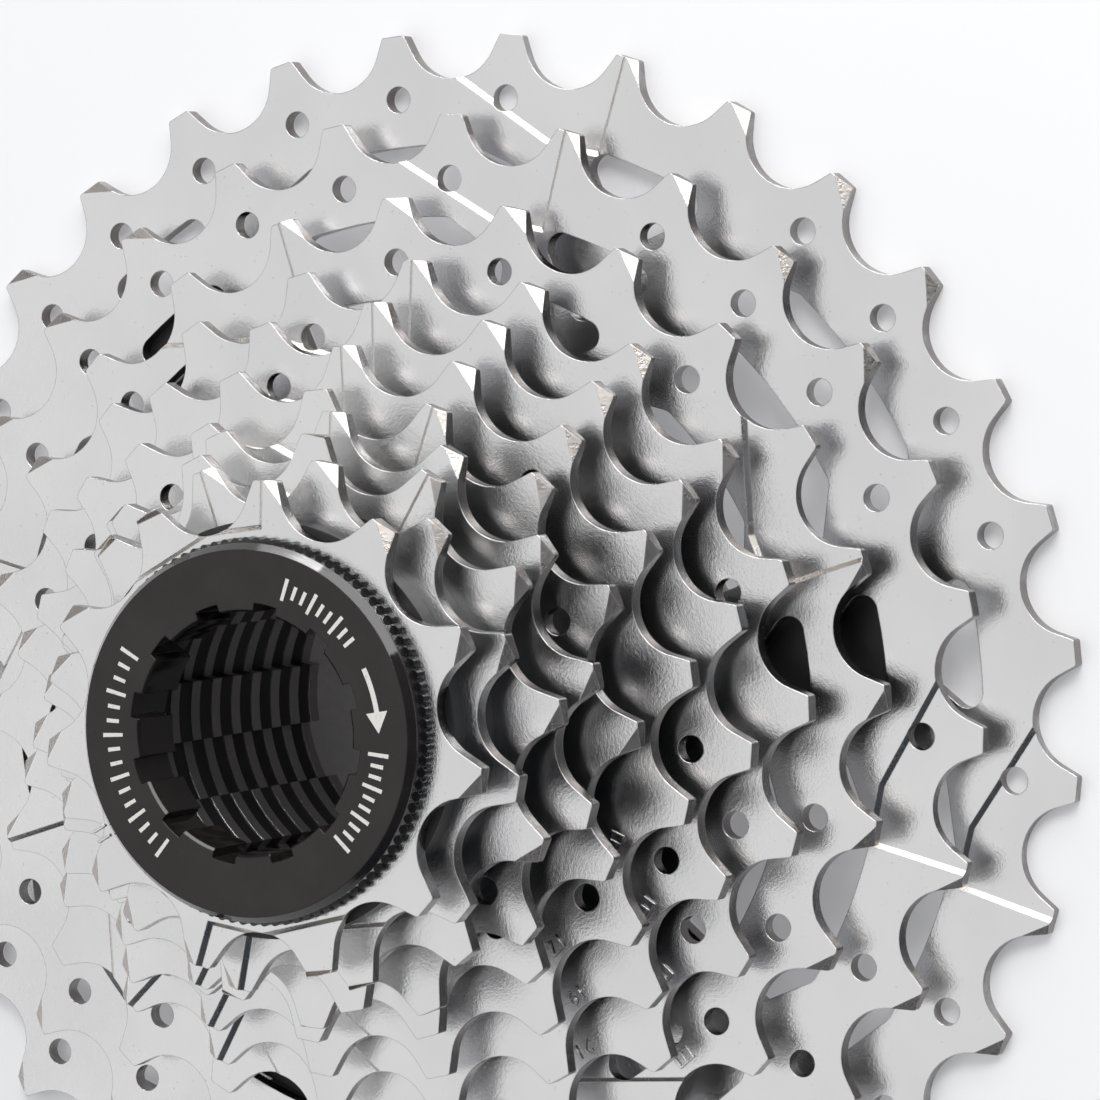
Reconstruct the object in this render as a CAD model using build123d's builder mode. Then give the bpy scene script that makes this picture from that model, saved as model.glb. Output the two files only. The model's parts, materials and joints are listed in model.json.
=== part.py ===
"""Eleven-speed bicycle cassette, 11 to 32 teeth, with its lockring.

Axis of the cassette along +Z.  The back face of the largest sprocket lies on
z = 0 and the lockring is at the top.  Lengths in millimetres, angles in
degrees, counted anticlockwise from +X as seen from above.
"""

import os
from dataclasses import dataclass
from math import acos, asin, atan2, cos, degrees, hypot, pi, radians, sin

from build123d import *

# Chain and tooth form
chain_pitch = 12.7
root_drop = 3.9            # pitch circle down to the tooth root
tip_rise = 0.62            # pitch circle up to the tooth tip
gullet_r = 4.85            # arc at the bottom of each gullet
tip_half = 1.2             # half of the flat at a tooth's tip
tip_corner_r = 0.3

# Stack
plate_t = 1.6              # thickness of one sprocket
stack_step = 3.9           # from one sprocket to the next
gap_t = stack_step - plate_t

# Splined bore for the freehub body
tab_r = 16.3               # inner tips of the tabs
slot_r = 17.45             # bottom of the slots between the tabs
spline_count = 9
slot_width_deg = 20
key_slot_width_deg = 13    # the one narrow slot that sets the position
spline_angle = 19.5
spacer_ease = 0.1          # the spacers' bore is this much larger

# Holes, ramps and coined facets
hole_r = 1.3
hole_drop = 5.6            # pitch circle down to a hole's centre
ramp_depth = 0.45
ramp_reach = 9.4           # pitch circle down to a ramp's inner edge
ramp_draft = 45
facet_tilt = 33
facet_overrun = 0.25
corner_facets = 3          # teeth after each ramp that have a corner facet

# Where each facet leaves the upper face, from the tip to the flank:
# height above the pitch circle, distance from the tooth's middle
long_facet = ((tip_rise, 0.1), (-2.4, 2.7))
corner_facet = ((tip_rise, -0.8), (-1.5, 2.1))

# Arms of the three largest sprockets: six pairs, each pair a fork with a narrow
# window in it, and a wide window from one fork to the next
fork_count = 6
fork_angle = 27.4
window_corner_r = 1.5
window_foot_r = 31         # inner edge of the wide windows
window_half_deg = 17.5     # half of a wide window's angle
shoulder_deg = 9.5         # half of the angle along its outer edge

# Rivets through the four largest sprockets, each at the foot of a fork
rivet_ring_r = 28
rivet_angles = tuple(fork_angle + turn for turn in (0, 120, 240))
rivet_r = 2.4
rivet_head_r = 3.6
rivet_sink = 0.7
rivet_head_t = 0.9
rivet_ease = 0.03
riveted = 4                # how many sprockets the rivets hold

# Lobed spacers
lobe_width = 13
lobe_ring_r = 24.5

# Lockring and its washer
washer_t = 0.8
washer_r = 17.95
washer_serrations = 98
washer_serration_depth = 0.4
washer_ease = 0.08
ring_flange_t = 2.0
ring_r = 17.5
ring_bevel = 0.6
ring_bevel_drop = 0.8
thread_r = 15.25
thread_pitch = 1.0
thread_depth = 0.45
sleeve_len = 4.2
tool_bore_r = 11.2
tool_notch_r = 12.1
tool_notch_width = 2.4
tool_notches = 12
tool_notch_angle = 9


@dataclass
class Cog:
    """One sprocket: its tooth count, where tooth 0 points and what is cut into it."""

    teeth: int
    first_deg: float        # direction of tooth 0
    ramps: tuple            # teeth that end a shift ramp
    holes: tuple            # teeth with a round hole below them
    spacer_r: float         # outer radius of the spacer above this sprocket

    @property
    def pitch_r(self):
        return chain_pitch / 2 / sin(pi / self.teeth)

    @property
    def pitch_deg(self):
        return 360 / self.teeth

    def tooth_deg(self, k):
        return self.first_deg + k * self.pitch_deg


def holes_except(teeth, missing):
    return tuple(k for k in range(teeth) if k not in missing)


cogs = (
    Cog(32, -83.1, (5, 13, 21, 29), holes_except(32, (4, 5, 13, 20, 21, 29, 31)), 48.5),
    Cog(28, -88.9, (5, 12, 19, 26), holes_except(28, (0, 5, 12, 14, 19, 26)), 41.5),
    Cog(24, -82.3, (0, 6, 12, 18), (2, 4, 5, 8, 10, 14, 16, 20, 21, 22), 35.0),
    Cog(21, -81.0, (4, 12), (0, 5, 8, 12, 15, 18, 19), 23.0),
    Cog(19, -85.2, (4, 12), (2, 5, 9, 13, 17, 18), 23.0),
    Cog(17, -91.9, (4, 11), (2, 6, 9, 13, 15), 22.5),
    Cog(15, -101.0, (3, 9), (1, 6, 9, 13), 21.6),
    Cog(14, -89.9, (3, 9), (5, 8, 12), 20.8),
    Cog(13, -95.7, (2, 8), (5, 9), 20.3),
    Cog(12, -80.9, (3, 8), (), 19.4),
    Cog(11, -76.7, (2, 7), (), 0.0),
)

# Radii of the windows: outer edge of the narrow ones and half of their width
# there, outer edge of the wide ones and radius where their sides begin
window_sets = {
    32: (55.9, 8.4, 54.5, 52.2),
    28: (47.9, 8.0, 47.4, 43.6),
    24: (41.8, 6.8, 39.5, 37.0),
}


def at(radius, angle):
    """Point in the XY plane at a radius and an angle in degrees."""
    return (radius * cos(radians(angle)), radius * sin(radians(angle)))


def tangent_point(point, centre, radius):
    """Where a line from point touches a circle, on the side nearer the origin."""
    dx = point[0] - centre[0]
    dy = point[1] - centre[1]
    reach = degrees(acos(radius / hypot(dx, dy)))
    toward = degrees(atan2(dy, dx))
    ends = []
    for side in (-reach, reach):
        ux, uy = at(radius, toward + side)
        ends.append((centre[0] + ux, centre[1] + uy))
    return min(ends, key=lambda end: hypot(*end))


def wedge(centre_deg, width_deg, radius):
    """Triangle with its point on the axis, longer than the radius."""
    reach = 1.1 * radius / cos(radians(width_deg / 2))
    right = at(reach, centre_deg - width_deg / 2)
    left = at(reach, centre_deg + width_deg / 2)
    Polygon((0, 0), right, left, align=None)


def tooth_outline(cog):
    """Closed outline of the teeth: flat tips, straight flanks, round gullets."""
    tip_r = cog.pitch_r + tip_rise
    root_r = cog.pitch_r - root_drop
    half_tip = degrees(asin(tip_half / tip_r))
    for k in range(cog.teeth):
        here = cog.tooth_deg(k)
        low = here + cog.pitch_deg / 2
        tip_a = at(tip_r, here - half_tip)
        tip_b = at(tip_r, here + half_tip)
        tip_c = at(tip_r, cog.tooth_deg(k + 1) - half_tip)
        centre = at(root_r + gullet_r, low)
        foot_b = tangent_point(tip_b, centre, gullet_r)
        foot_c = tangent_point(tip_c, centre, gullet_r)
        Line(tip_a, tip_b)
        Line(tip_b, foot_b)
        ThreePointArc(foot_b, at(root_r, low), foot_c)
        Line(foot_c, tip_c)


def cut_bore(height, ease=0.0):
    """Cut the freehub spline: tabs between slots, one slot narrower."""
    with BuildSketch() as spline:
        for i in range(spline_count):
            width = key_slot_width_deg if i == 0 else slot_width_deg
            wedge(spline_angle + i * 360 / spline_count, width, slot_r)
        Circle(slot_r + ease, mode=Mode.INTERSECT)
        Circle(tab_r + ease)
    extrude(spline.sketch, amount=height, mode=Mode.SUBTRACT)


def cut_narrow_windows(rim_r, half):
    """Cut a triangle into each fork, its point toward the axis."""
    with BuildSketch() as windows:
        for i in range(fork_count):
            with Locations(Rotation(0, 0, fork_angle + i * 360 / fork_count)):
                Polygon((rim_r - half, 0), (rim_r + 1, half + 1), (rim_r + 1, -half - 1), align=None)
        Circle(rim_r, mode=Mode.INTERSECT)
        fillet(windows.vertices(), window_corner_r)
    extrude(windows.sketch, amount=plate_t, mode=Mode.SUBTRACT)


def cut_wide_windows(rim_r, side_r):
    """Cut the windows between the forks, with sloping shoulders at the rim."""
    peak = rim_r / cos(radians(shoulder_deg))
    with BuildSketch() as windows:
        for i in range(fork_count):
            axis = fork_angle + (i + 0.5) * 360 / fork_count
            corners = (
                (0, 0),
                at(side_r, axis - window_half_deg),
                at(rim_r, axis - shoulder_deg),
                at(peak, axis),
                at(rim_r, axis + shoulder_deg),
                at(side_r, axis + window_half_deg),
            )
            Polygon(*corners, align=None)
        Circle(rim_r, mode=Mode.INTERSECT)
        Circle(window_foot_r, mode=Mode.SUBTRACT)
        fillet(windows.vertices(), window_corner_r)
    extrude(windows.sketch, amount=plate_t, mode=Mode.SUBTRACT)


def cut_ramps(cog):
    """Press the shift ramps into the upper face, each one and a half teeth wide."""
    outside = cog.pitch_r + tip_rise + 2
    inside = max(cog.pitch_r - ramp_reach, slot_r + 1.2)
    for k in cog.ramps:
        end = cog.tooth_deg(k)
        start = cog.tooth_deg(k + 1.5)
        turn = cog.tooth_deg(k + 0.55)
        with BuildSketch(Plane.XY.offset(plate_t)) as ramp:
            corners = (
                at(outside, end),
                at(outside, start),
                at(cog.pitch_r - root_drop + 0.4, start),
                at(inside, turn),
                at(inside, end),
            )
            Polygon(*corners, align=None)
        extrude(ramp.sketch, amount=-ramp_depth, taper=ramp_draft, mode=Mode.SUBTRACT)


def facet_plane(cog, k, outer, inner):
    """Plane of a coined facet on the clockwise flank of tooth k."""
    turn = Rotation(0, 0, cog.tooth_deg(k))
    start = (turn * Pos(cog.pitch_r + outer[0], -outer[1], plate_t)).position
    stop = (turn * Pos(cog.pitch_r + inner[0], -inner[1], plate_t)).position
    along = (stop - start).normalized()
    flank = Vector(0, 0, 1).cross(along)
    tilt = radians(facet_tilt)
    up = Vector(0, 0, 1) * cos(tilt) + flank * sin(tilt)
    return Plane(origin=(start + stop) * 0.5, x_dir=along, z_dir=up)


def cut_facets(cog):
    """Coin the clockwise flanks: a long facet by each ramp, corner facets after it."""
    for ramp_tooth in cog.ramps:
        for after in range(corner_facets + 1):
            outer, inner = corner_facet if after else long_facet
            with Locations(facet_plane(cog, ramp_tooth - after, outer, inner)):
                length = hypot(outer[0] - inner[0], outer[1] - inner[1]) + 2 * facet_overrun
                Box(length, 4, 3, align=(Align.CENTER, Align.MIN, Align.MIN), mode=Mode.SUBTRACT)


def sprocket(index):
    """One sprocket plate, from the toothed blank to the finished cuts."""
    cog = cogs[index]
    with BuildPart() as body:
        with BuildSketch() as blank:
            with BuildLine():
                tooth_outline(cog)
            make_face()
            tips = blank.vertices().filter_by(
                lambda v: hypot(v.X, v.Y) > cog.pitch_r + 0.9 * tip_rise
            )
            fillet(tips, tip_corner_r)
        extrude(amount=plate_t)
        cut_bore(plate_t)
        if cog.teeth in window_sets:
            narrow_rim_r, narrow_half, wide_rim_r, side_r = window_sets[cog.teeth]
            cut_narrow_windows(narrow_rim_r, narrow_half)
            cut_wide_windows(wide_rim_r, side_r)
        if cog.holes:
            spots = [at(cog.pitch_r - hole_drop, cog.tooth_deg(k)) for k in cog.holes]
            with Locations(*spots):
                Cylinder(hole_r, 3 * plate_t, mode=Mode.SUBTRACT)
        if index < riveted:
            with Locations(*[at(rivet_ring_r, angle) for angle in rivet_angles]):
                Cylinder(rivet_r + rivet_ease, 3 * plate_t, mode=Mode.SUBTRACT)
                if index == 0:
                    Cylinder(rivet_head_r + rivet_ease, 2 * rivet_sink, mode=Mode.SUBTRACT)
        cut_ramps(cog)
        cut_facets(cog)
    return body.part.moved(Pos(0, 0, index * stack_step))


def spacer(index):
    """Plastic spacer above a sprocket; between the riveted ones it has three lobes."""
    cog = cogs[index]
    lobed = index < riveted - 1
    with BuildPart() as body:
        with BuildSketch() as flat:
            Circle(lobe_ring_r if lobed else cog.spacer_r)
            if lobed:
                for angle in rivet_angles:
                    with Locations(Rotation(0, 0, angle) * Pos(cog.spacer_r / 2, 0)):
                        Rectangle(cog.spacer_r, lobe_width)
                tips = flat.vertices().filter_by(lambda v: hypot(v.X, v.Y) > lobe_ring_r + 3)
                fillet(tips, 3)
        extrude(amount=gap_t)
        cut_bore(gap_t, spacer_ease)
        if lobed:
            with Locations(*[at(rivet_ring_r, angle) for angle in rivet_angles]):
                Cylinder(rivet_r + rivet_ease, 3 * gap_t, mode=Mode.SUBTRACT)
    return body.part.moved(Pos(0, 0, index * stack_step + plate_t))


def rivets():
    """Three rivets, sunk into the back of the largest sprocket."""
    top = (riveted - 1) * stack_step + plate_t
    low = (Align.CENTER, Align.CENTER, Align.MIN)
    with BuildPart() as pins:
        with Locations(*[at(rivet_ring_r, angle) for angle in rivet_angles]):
            Cylinder(rivet_head_r, rivet_sink, align=low)
            Cylinder(rivet_r, top, align=low)
        with Locations(*[(*at(rivet_ring_r, angle), top) for angle in rivet_angles]):
            Cone(rivet_head_r, rivet_head_r - 0.7, rivet_head_t, align=low)
    pins.part.label = "rivets"
    return pins.part


def lock_washer():
    """Thin washer with a serrated rim, held under the lockring's flange."""
    turn = 360 / washer_serrations
    valley_r = washer_r - washer_serration_depth
    with BuildPart() as washer:
        with BuildSketch():
            with BuildLine():
                for i in range(washer_serrations):
                    left = at(valley_r, (i - 0.4) * turn)
                    right = at(valley_r, (i + 0.4) * turn)
                    ThreePointArc(left, at(washer_r, i * turn), right)
                    Line(right, at(valley_r, (i + 0.6) * turn))
            make_face()
            Circle(thread_r + washer_ease, mode=Mode.SUBTRACT)
        extrude(amount=washer_t)
    washer.part.label = "lock_washer"
    return washer.part.moved(Pos(0, 0, stack_top))


def lockring():
    """Lockring: bevelled flange, tool notches and a threaded sleeve."""
    under = stack_top + washer_t
    top = under + ring_flange_t
    with BuildPart() as ring:
        with BuildSketch(Plane.XZ):
            with BuildLine():
                Polyline(
                    (tool_bore_r, top - 0.25),
                    (tool_bore_r + 0.25, top),
                    (ring_r - ring_bevel, top),
                    (ring_r, top - ring_bevel_drop),
                    (ring_r, under),
                    (thread_r, under),
                    (thread_r, under - sleeve_len + 0.6),
                    (thread_r - 0.6, under - sleeve_len),
                    (tool_bore_r, under - sleeve_len),
                    close=True,
                )
            make_face()
        revolve(axis=Axis.Z)
        with BuildSketch(Plane.XY.offset(top)):
            with PolarLocations(tool_notch_r / 2, tool_notches, tool_notch_angle):
                Rectangle(tool_notch_r, tool_notch_width)
            Circle(tool_notch_r, mode=Mode.INTERSECT)
        extrude(amount=-20, mode=Mode.SUBTRACT)
        groove_count = int((sleeve_len - 1.6) / thread_pitch)
        for i in range(groove_count):
            level = under - 1.3 - i * thread_pitch
            with BuildSketch(Plane.XZ):
                with BuildLine():
                    Polyline(
                        (thread_r - thread_depth, level),
                        (thread_r + 0.1, level + 0.42),
                        (thread_r + 0.1, level - 0.42),
                        close=True,
                    )
                make_face()
            revolve(axis=Axis.Z, mode=Mode.SUBTRACT)
    ring.part.label = "lockring"
    return ring.part


stack_top = (len(cogs) - 1) * stack_step + plate_t


def save(part, name):
    part.label = name
    export_step(part, f"parts/{name}.step")


os.makedirs("parts", exist_ok=True)
for i, cog in enumerate(cogs):
    save(sprocket(i), f"sprocket_{cog.teeth}t")
for i in range(len(cogs) - 1):
    save(spacer(i), f"spacer_{cogs[i].teeth}_{cogs[i + 1].teeth}")
save(rivets(), "rivets")
save(lock_washer(), "lock_washer")
save(lockring(), "lockring")
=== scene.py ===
"""Looks for the bicycle cassette: plated sprockets, black spacers and lockring."""

import json
from math import cos, degrees, pi, radians, sin

import bmesh
import bpy
from mathutils import Matrix, Quaternion, Vector


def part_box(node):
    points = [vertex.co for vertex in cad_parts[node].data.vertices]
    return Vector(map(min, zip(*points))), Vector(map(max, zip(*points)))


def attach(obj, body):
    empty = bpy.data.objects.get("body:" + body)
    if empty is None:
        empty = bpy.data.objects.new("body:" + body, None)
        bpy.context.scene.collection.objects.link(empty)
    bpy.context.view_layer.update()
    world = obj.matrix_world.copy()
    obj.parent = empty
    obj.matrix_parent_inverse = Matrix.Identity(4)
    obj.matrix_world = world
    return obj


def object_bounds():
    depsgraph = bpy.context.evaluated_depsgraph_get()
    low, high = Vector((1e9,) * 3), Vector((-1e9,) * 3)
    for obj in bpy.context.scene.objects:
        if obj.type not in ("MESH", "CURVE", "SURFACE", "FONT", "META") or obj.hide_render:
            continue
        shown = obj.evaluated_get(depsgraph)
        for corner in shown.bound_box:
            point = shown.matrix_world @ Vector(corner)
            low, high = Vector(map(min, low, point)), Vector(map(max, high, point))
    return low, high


MM = 0.001

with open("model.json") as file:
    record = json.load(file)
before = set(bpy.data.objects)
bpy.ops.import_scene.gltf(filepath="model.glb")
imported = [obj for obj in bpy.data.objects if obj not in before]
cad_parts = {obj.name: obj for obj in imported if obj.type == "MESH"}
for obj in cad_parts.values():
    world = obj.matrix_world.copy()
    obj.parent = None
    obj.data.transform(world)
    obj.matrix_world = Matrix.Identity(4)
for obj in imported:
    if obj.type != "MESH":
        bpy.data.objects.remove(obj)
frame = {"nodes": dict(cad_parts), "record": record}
cad_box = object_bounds()
nodes = frame["nodes"]


# ---------------------------------------------------------------- node helpers


class Graph:
    """A material's node tree, with short calls for the nodes used here."""

    def __init__(self, name):
        self.material = bpy.data.materials.new(name)
        self.material.use_nodes = True
        self.tree = self.material.node_tree
        self.tree.nodes.clear()
        self.shader = self.add("ShaderNodeBsdfPrincipled")
        output = self.add("ShaderNodeOutputMaterial")
        self.join(self.shader.outputs["BSDF"], output.inputs["Surface"])
        self.place = self.add("ShaderNodeTexCoord").outputs["Object"]

    def add(self, kind, **settings):
        node = self.tree.nodes.new(kind)
        for name, value in settings.items():
            setattr(node, name, value)
        return node

    def join(self, source, target):
        self.tree.links.new(source, target)

    def feed(self, socket, value):
        """Link an output to a socket, or set the socket's plain value."""
        if isinstance(value, bpy.types.NodeSocket):
            self.join(value, socket)
        else:
            socket.default_value = value

    def noise(self, scale, detail=4.0, roughness=0.55, place=None, stretch=None):
        place = place or self.place
        if stretch:
            mapping = self.add("ShaderNodeMapping")
            mapping.inputs["Scale"].default_value = stretch
            self.join(place, mapping.inputs["Vector"])
            place = mapping.outputs["Vector"]
        node = self.add("ShaderNodeTexNoise")
        self.join(place, node.inputs["Vector"])
        node.inputs["Scale"].default_value = scale
        node.inputs["Detail"].default_value = detail
        node.inputs["Roughness"].default_value = roughness
        return node.outputs["Fac"]

    def math(self, operation, a, b=0.0, clamp=False):
        node = self.add("ShaderNodeMath", operation=operation, use_clamp=clamp)
        self.feed(node.inputs[0], a)
        self.feed(node.inputs[1], b)
        return node.outputs[0]

    def spread(self, value, low, high, to_low=0.0, to_high=1.0):
        """Smoothly map low..high onto to_low..to_high."""
        node = self.add("ShaderNodeMapRange", interpolation_type="SMOOTHSTEP")
        self.feed(node.inputs["Value"], value)
        node.inputs["From Min"].default_value = low
        node.inputs["From Max"].default_value = high
        node.inputs["To Min"].default_value = to_low
        node.inputs["To Max"].default_value = to_high
        return node.outputs["Result"]

    def blend(self, factor, a, b):
        node = self.add("ShaderNodeMix", data_type="RGBA")
        self.feed(node.inputs["Factor"], factor)
        for socket, colour in ((node.inputs["A"], a), (node.inputs["B"], b)):
            self.feed(socket, colour if isinstance(colour, bpy.types.NodeSocket) else (*colour, 1.0))
        return node.outputs["Result"]

    def bump(self, height, distance, strength=1.0, normal=None):
        node = self.add("ShaderNodeBump")
        self.feed(node.inputs["Height"], height)
        self.feed(node.inputs["Strength"], strength)
        node.inputs["Distance"].default_value = distance
        if normal is not None:
            self.join(normal, node.inputs["Normal"])
        return node.outputs["Normal"]

    def from_axis(self):
        """Distance of the shaded point from the cassette's axis."""
        place = self.add("ShaderNodeSeparateXYZ")
        self.join(self.place, place.inputs[0])
        x, y = place.outputs["X"], place.outputs["Y"]
        return self.math("SQRT", self.math("ADD", self.math("MULTIPLY", x, x), self.math("MULTIPLY", y, y)))

    def rounded(self, radius):
        """A normal that rounds sharp edges, so that they catch the light."""
        node = self.add("ShaderNodeBevel", samples=4)
        node.inputs["Radius"].default_value = radius
        return node.outputs["Normal"]


# ------------------------------------------------------------------- materials


def plated_steel():
    """Bright plate: mirror faces, sparkling coined facets and darker punched edges."""
    g = Graph("plated_steel")
    facing = g.add("ShaderNodeSeparateXYZ")
    g.join(g.add("ShaderNodeNewGeometry").outputs["True Normal"], facing.inputs[0])
    lift = g.math("ABSOLUTE", facing.outputs["Z"])
    flat = g.spread(lift, 0.93, 0.99)
    edge = g.spread(lift, 0.12, 0.02)
    coined = g.math("SUBTRACT", g.math("SUBTRACT", 1.0, flat), edge, clamp=True)

    cloud = g.noise(55.0, 3.0)
    smear = g.noise(240.0, 5.0, 0.6)
    grain = g.noise(3400.0, 3.0, 0.8)
    draw_marks = g.noise(900.0, 3.0, 0.6, stretch=(1.0, 1.0, 9.0))
    specks = g.spread(g.noise(2600.0, 2.0, 0.5), 0.70, 0.76)

    bright = g.blend(g.spread(cloud, 0.35, 0.7), (0.80, 0.80, 0.80), (0.75, 0.75, 0.76))
    brown = g.blend(g.spread(smear, 0.45, 0.7), (0.24, 0.22, 0.21), (0.44, 0.435, 0.43))
    colour = g.blend(edge, bright, brown)
    colour = g.blend(coined, colour, (0.72, 0.67, 0.625))
    bore = g.math("MULTIPLY", edge, g.spread(g.from_axis(), 18.3 * MM, 17.7 * MM))
    colour = g.blend(bore, colour, (0.58, 0.565, 0.565))
    colour = g.blend(g.math("MULTIPLY", specks, 0.35), colour, (0.42, 0.41, 0.40))
    g.join(colour, g.shader.inputs["Base Color"])

    face_rough = g.spread(smear, 0.3, 0.75, 0.10, 0.14)
    rough = g.math("ADD", face_rough, g.math("MULTIPLY", coined, 0.16))
    rough = g.math("ADD", rough, g.math("MULTIPLY", edge, 0.03))
    rough = g.math("ADD", rough, g.math("MULTIPLY", bore, 0.4))
    rough = g.math("ADD", rough, g.math("MULTIPLY", specks, 0.15))
    g.join(rough, g.shader.inputs["Roughness"])
    g.shader.inputs["Metallic"].default_value = 1.0

    normal = g.rounded(0.15 * MM)
    normal = g.bump(cloud, 0.25 * MM, 0.035, normal)
    normal = g.bump(draw_marks, 0.03 * MM, g.math("MULTIPLY", edge, 0.7), normal)
    normal = g.bump(grain, 0.035 * MM, g.math("ADD", g.math("MULTIPLY", coined, 0.8), 0.8), normal)
    g.join(normal, g.shader.inputs["Normal"])
    return g.material


def black_plastic():
    """Moulded spacer plastic with a fine grain and faint dusty patches."""
    g = Graph("black_plastic")
    dust = g.noise(140.0, 5.0, 0.6)
    grain = g.noise(4200.0, 2.0)
    colour = g.blend(g.spread(dust, 0.45, 0.75), (0.012, 0.012, 0.013), (0.028, 0.027, 0.027))
    g.join(colour, g.shader.inputs["Base Color"])
    g.join(g.spread(dust, 0.3, 0.7, 0.34, 0.5), g.shader.inputs["Roughness"])
    normal = g.bump(grain, 0.02 * MM, 0.35, g.rounded(0.15 * MM))
    g.join(normal, g.shader.inputs["Normal"])
    return g.material


def black_anodised():
    """Anodised lockring: satin black with turning marks and a glossier bevel."""
    g = Graph("black_anodised")
    rings = g.add("ShaderNodeTexNoise", noise_dimensions="1D")
    g.join(g.from_axis(), rings.inputs["W"])
    rings.inputs["Scale"].default_value = 5200.0
    rings.inputs["Detail"].default_value = 3.0
    haze = g.noise(160.0, 5.0, 0.6)
    marks = g.noise(420.0, 4.0, 0.6, stretch=(1.0, 3.0, 1.0))
    facing = g.add("ShaderNodeSeparateXYZ")
    g.join(g.add("ShaderNodeNewGeometry").outputs["True Normal"], facing.inputs[0])
    tilted = g.spread(g.math("ABSOLUTE", facing.outputs["Z"]), 0.95, 0.8)
    colour = g.blend(g.spread(haze, 0.35, 0.75), (0.013, 0.0105, 0.0097), (0.020, 0.0168, 0.0158))
    g.join(colour, g.shader.inputs["Base Color"])
    rough = g.math("ADD", g.spread(marks, 0.35, 0.7, 0.27, 0.32), g.spread(haze, 0.5, 0.8, 0.0, 0.04))
    rough = g.math("SUBTRACT", rough, g.math("MULTIPLY", tilted, 0.22))
    g.join(rough, g.shader.inputs["Roughness"])
    shine = g.math("ADD", g.math("MULTIPLY", tilted, 0.55), 0.42)
    g.join(shine, g.shader.inputs["Specular IOR Level"])
    normal = g.bump(rings.outputs["Fac"], 0.012 * MM, 0.18, g.rounded(0.18 * MM))
    normal = g.bump(marks, 0.02 * MM, 0.05, normal)
    g.join(normal, g.shader.inputs["Normal"])
    return g.material


def black_washer():
    """Hard black coating on the serrated washer, worn along its teeth."""
    g = Graph("black_washer")
    wear = g.noise(900.0, 4.0, 0.65)
    colour = g.blend(g.spread(wear, 0.62, 0.75), (0.010, 0.010, 0.011), (0.06, 0.058, 0.057))
    g.join(colour, g.shader.inputs["Base Color"])
    g.join(g.spread(wear, 0.3, 0.7, 0.08, 0.18), g.shader.inputs["Roughness"])
    g.shader.inputs["Specular IOR Level"].default_value = 0.7
    g.join(g.bump(wear, 0.02 * MM, 0.15, g.rounded(0.05 * MM)), g.shader.inputs["Normal"])
    return g.material


def rivet_steel():
    """Plain steel rivets with hammer marks."""
    g = Graph("rivet_steel")
    marks = g.noise(700.0, 4.0, 0.6)
    colour = g.blend(g.spread(marks, 0.3, 0.7), (0.62, 0.61, 0.60), (0.46, 0.45, 0.44))
    g.join(colour, g.shader.inputs["Base Color"])
    g.shader.inputs["Metallic"].default_value = 1.0
    g.join(g.spread(marks, 0.3, 0.7, 0.22, 0.4), g.shader.inputs["Roughness"])
    g.join(g.bump(marks, 0.06 * MM, 0.4, g.rounded(0.2 * MM)), g.shader.inputs["Normal"])
    return g.material


def white_paint():
    """Laser-marked white on the lockring, slightly uneven."""
    g = Graph("white_paint")
    wear = g.noise(2400.0, 4.0, 0.6)
    colour = g.blend(g.spread(wear, 0.55, 0.8), (0.80, 0.79, 0.75), (0.52, 0.51, 0.48))
    g.join(colour, g.shader.inputs["Base Color"])
    g.join(g.spread(wear, 0.3, 0.7, 0.5, 0.68), g.shader.inputs["Roughness"])
    g.join(g.bump(wear, 0.02 * MM, 0.3), g.shader.inputs["Normal"])
    return g.material


def pale_floor():
    """Nearly white table top that glows a little."""
    g = Graph("pale_floor")
    cloud = g.noise(3.0, 3.0)
    colour = g.blend(g.spread(cloud, 0.3, 0.7), (0.78, 0.78, 0.79), (0.82, 0.82, 0.825))
    g.join(colour, g.shader.inputs["Base Color"])
    g.join(g.spread(cloud, 0.3, 0.7, 0.22, 0.3), g.shader.inputs["Roughness"])
    g.shader.inputs["Emission Color"].default_value = (0.97, 0.97, 1.0, 1.0)
    g.shader.inputs["Emission Strength"].default_value = 0.2
    return g.material


def plain_card():
    """Matt card without the floor's glow: under the bore it leaves painted shade that shows through the
    bore.
    """
    g = Graph("plain_card")
    fibre = g.noise(900.0, 4.0)
    colour = g.blend(g.spread(fibre, 0.3, 0.7), (0.78, 0.75, 0.77), (0.84, 0.81, 0.83))
    g.join(colour, g.shader.inputs["Base Color"])
    g.join(g.spread(fibre, 0.3, 0.7, 0.7, 0.85), g.shader.inputs["Roughness"])
    # Much weaker glow than the floor's, so the bore shows painted shade.
    g.shader.inputs["Emission Color"].default_value = (1.0, 0.95, 0.98, 1.0)
    g.shader.inputs["Emission Strength"].default_value = 0.02
    return g.material


finishes = {
    "plated_steel": plated_steel(),
    "black_plastic": black_plastic(),
    "rivet_steel": rivet_steel(),
    "black_washer": black_washer(),
    "black_anodised": black_anodised(),
}
for part in frame["record"]["subparts"]:
    for holder in nodes[part["node"]].material_slots:
        holder.material = finishes[part["material_slot"]]


# ------------------------------------------------- marks on lockring and plates


def polar(radius, angle):
    return (radius * cos(radians(angle)), radius * sin(radians(angle)))


def arc_points(radius, start, end, steps=12):
    return [polar(radius, start + (end - start) * i / steps) for i in range(steps + 1)]


def finish_piece(name, shape, material, body):
    """Turn a bmesh into an object that moves with a body."""
    bmesh.ops.recalc_face_normals(shape, faces=shape.faces[:])
    mesh = bpy.data.meshes.new(name)
    shape.to_mesh(mesh)
    shape.free()
    mesh.materials.append(material)
    piece = bpy.data.objects.new(name, mesh)
    bpy.context.scene.collection.objects.link(piece)
    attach(piece, body)


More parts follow.
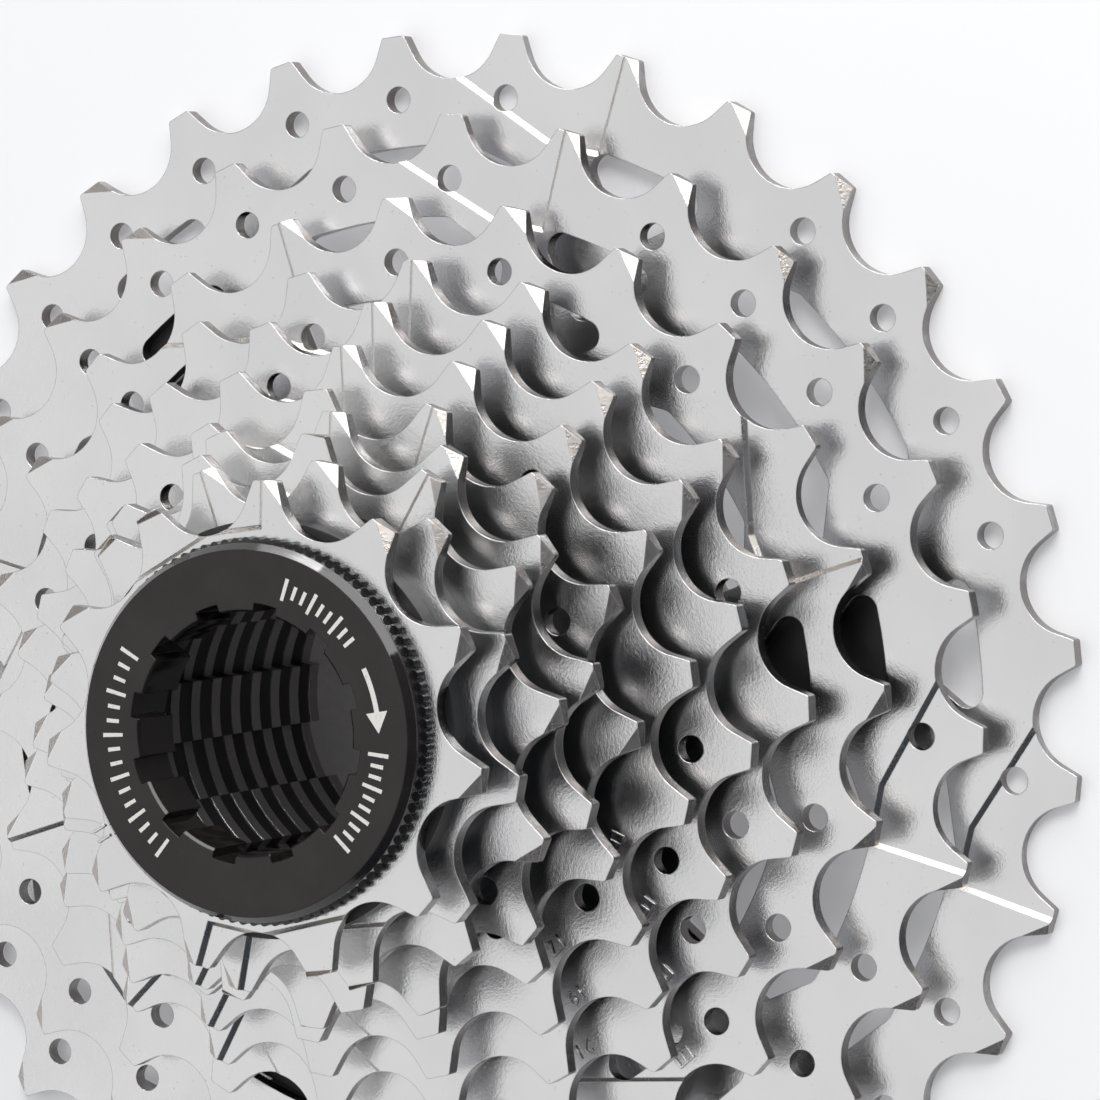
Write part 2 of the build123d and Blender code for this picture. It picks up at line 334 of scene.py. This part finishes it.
def add_plate(shape, outline, level, thickness):
    """Add a thin flat plate with the given outline, standing on a level."""
    low = [shape.verts.new((x, y, level)) for x, y in outline]
    high = [shape.verts.new((x, y, level + thickness)) for x, y in outline]
    shape.faces.new(low)
    shape.faces.new(high)
    for i in range(len(outline)):
        j = (i + 1) % len(outline)
        shape.faces.new((low[i], low[j], high[j], high[i]))


ring_low, ring_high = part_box("lockring")
mark_r = 0.80 * (ring_high[0] - ring_low[0]) / 2


def arrow_outline(start, end, width):
    """A curved arrow that points clockwise, from the start angle to the end angle."""
    neck = end + 8
    outer = arc_points(mark_r + width / 2, start, neck)
    inner = arc_points(mark_r - width / 2, neck, start)
    head = [polar(mark_r + 2.2 * width, neck), polar(mark_r, end), polar(mark_r - 2.2 * width, neck)]
    return outer + head + inner


def tick_outline(angle, length, width):
    half = degrees(0.5 * width / mark_r)
    return arc_points(mark_r + length / 2, angle - half, angle + half, 2) + arc_points(
        mark_r - length / 2, angle + half, angle - half, 2
    )


def lockring_marks():
    """White arrow and plain scales of ticks on the lockring's face."""
    shape = bmesh.new()
    level = ring_high[2] - 0.02 * MM
    add_plate(shape, arrow_outline(-73, -98, 0.5 * MM), level, 0.035 * MM)
    for first, last, step in ((-28, -62, -4.2), (-106, -146, -4.2), (50, 132, 5.4)):
        count = int((last - first) / step) + 1
        for i in range(count):
            length = (2.1 if i % 3 == 0 else 1.3) * MM
            add_plate(shape, tick_outline(first + i * step, length, 0.36 * MM), level, 0.035 * MM)
    finish_piece("lockring_marks", shape, white_paint(), "lockring")


def add_numeral(shape, text, radius, angle, level, height):
    """Add raised digits that read clockwise, with their tops outward."""
    curve = bpy.data.curves.new("digits", "FONT")
    curve.body = text
    curve.size = height * 1.4
    curve.extrude = 0.2 * MM
    curve.offset = 0.02 * MM
    curve.align_x = "CENTER"
    curve.align_y = "CENTER"
    holder = bpy.data.objects.new("digits", curve)
    bpy.context.scene.collection.objects.link(holder)
    bpy.context.view_layer.update()
    mesh = bpy.data.meshes.new_from_object(holder)
    x, y = polar(radius, angle)
    turn = Matrix.Rotation(radians(angle - 90), 4, "Z")
    mesh.transform(Matrix.Translation((x, y, level)) @ turn)
    shape.from_mesh(mesh)
    bpy.data.objects.remove(holder)
    bpy.data.curves.remove(curve)
    bpy.data.meshes.remove(mesh)


def add_stamp(shape, radius, angle, level):
    """Add a small raised frame with a bar across it."""
    wide, tall, bar = 0.95 * MM, 0.7 * MM, 0.24 * MM
    turn = Matrix.Rotation(radians(angle - 90), 4, "Z")
    x, y = polar(radius, angle)
    spans = (
        ((-wide, -tall), (wide, -tall + bar)),
        ((-wide, tall - bar), (wide, tall)),
        ((-wide, -tall + bar), (-wide + bar, tall - bar)),
        ((wide - bar, -tall + bar), (wide, tall - bar)),
        ((-bar / 2, -tall + bar), (bar / 2, tall - bar)),
    )
    for (x0, y0), (x1, y1) in spans:
        corners = ((x0, y0), (x1, y0), (x1, y1), (x0, y1))
        placed = [turn @ Vector((u, v, 0)) + Vector((x, y, 0)) for u, v in corners]
        add_plate(shape, [(c.x, c.y) for c in placed], level - 0.05 * MM, 0.3 * MM)


def plate_marks():
    """Tooth counts and small plain stamps raised on the sprockets."""
    shape = bmesh.new()
    numerals = ((11, 201), (17, -55.2), (19, -61.4), (21, -68.4), (24, -74.0))
    stamps = ((17, -32.1), (19, -41.8), (21, -50.9), (24, -58.9))
    for teeth, az in numerals:
        pitch_r = 6.35 * MM / sin(pi / teeth)
        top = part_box(f"sprocket_{teeth}t")[1][2]
        drop = (2.9 if teeth == 11 else 5.2) * MM
        add_numeral(shape, str(teeth), pitch_r - drop, az - 90, top, 1.5 * MM)
    for teeth, az in stamps:
        pitch_r = 6.35 * MM / sin(pi / teeth)
        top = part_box(f"sprocket_{teeth}t")[1][2]
        add_stamp(shape, pitch_r - 5.4 * MM, az - 90, top)
    finish_piece("plate_marks", shape, finishes["plated_steel"], "cassette")


lockring_marks()
plate_marks()


# ------------------------------------------------------------ floor and lights


def add_backdrop(name, shape, material, level):
    mesh = bpy.data.meshes.new(name)
    shape.to_mesh(mesh)
    shape.free()
    mesh.materials.append(material)
    piece = bpy.data.objects.new(name, mesh)
    piece.location.z = level
    bpy.context.scene.collection.objects.link(piece)


def floor():
    """Pale, faintly glowing table, with an unglowing card under the bore that paints shade there."""
    table = bmesh.new()
    bmesh.ops.create_grid(table, x_segments=8, y_segments=8, size=1.6)
    add_backdrop("floor", table, pale_floor(), cad_box[0][2] - 0.1 * MM)
    # The card hides the floor's glow under the bore: painted shade seen through the bore.
    card = bmesh.new()
    bmesh.ops.create_circle(card, cap_ends=True, segments=64, radius=24 * MM)
    add_backdrop("card", card, plain_card(), cad_box[0][2] - 0.05 * MM)


floor()


def soft_light(name, place, size, watts, target=(0, 0, 0.02)):
    """Rectangular lamp at a place, turned to the object."""
    data = bpy.data.lights.new(name, "AREA")
    data.shape = "RECTANGLE"
    data.size = size[0]
    data.size_y = size[1]
    data.energy = watts
    lamp = bpy.data.objects.new(name, data)
    lamp.location = place
    lamp.rotation_euler = (Vector(target) - Vector(place)).to_track_quat("-Z", "Y").to_euler()
    bpy.context.scene.collection.objects.link(lamp)


soft_light("key", (0.80, -0.50, 0.44), (1.3, 0.85), 10.0)
soft_light("sparkle", (0.70, -0.40, 0.85), (0.4, 0.4), 3.5)
soft_light("far_side", (0.0, 1.1, 0.75), (1.5, 0.5), 1.2)
soft_light("low_strip", (1.0, 0.0, 0.06), (0.5, 0.12), 1.6)


def studio_world():
    """Large soft source overhead and behind, in a dimmer, cooler room."""
    world = bpy.data.worlds.new("studio")
    world.use_nodes = True
    tree = world.node_tree
    direction = tree.nodes.new("ShaderNodeTexCoord")
    toward = tree.nodes.new("ShaderNodeVectorMath")
    toward.operation = "DOT_PRODUCT"
    toward.inputs[1].default_value = (0.0, 0.47, 0.88)
    tree.links.new(direction.outputs["Generated"], toward.inputs[0])
    ramp = tree.nodes.new("ShaderNodeValToRGB")
    tree.links.new(toward.outputs["Value"], ramp.inputs["Fac"])
    steps = ramp.color_ramp.elements
    steps[0].position, steps[0].color = 0.60, (0.03, 0.04, 0.055, 1.0)
    steps[1].position, steps[1].color = 0.79, (0.82, 0.82, 0.82, 1.0)
    background = tree.nodes["Background"]
    tree.links.new(ramp.outputs["Color"], background.inputs["Color"])
    background.inputs["Strength"].default_value = 1.0
    bpy.context.scene.world = world


studio_world()
bpy.context.scene.view_settings.view_transform = "Standard"


# ---------------------------------------------------------------------- camera

distance = 0.5484
elevation = 62.24
roll = -96.5
aim = Vector((0.0124, -0.0222, 0.46 * cad_box[1][2]))

eye = Vector((0.0, -distance * cos(radians(elevation)), distance * sin(radians(elevation))))
look = (aim - eye).to_track_quat("-Z", "Y")
spin = Quaternion((0.0, 0.0, 1.0), radians(roll))
view = bpy.data.cameras.new("view")
view.lens = 181.97
view.sensor_width = 36.0
view.clip_start = 0.01
camera = bpy.data.objects.new("camera", view)
camera.matrix_world = Matrix.Translation(eye) @ (look @ spin).to_matrix().to_4x4()
bpy.context.scene.collection.objects.link(camera)
bpy.context.scene.camera = camera
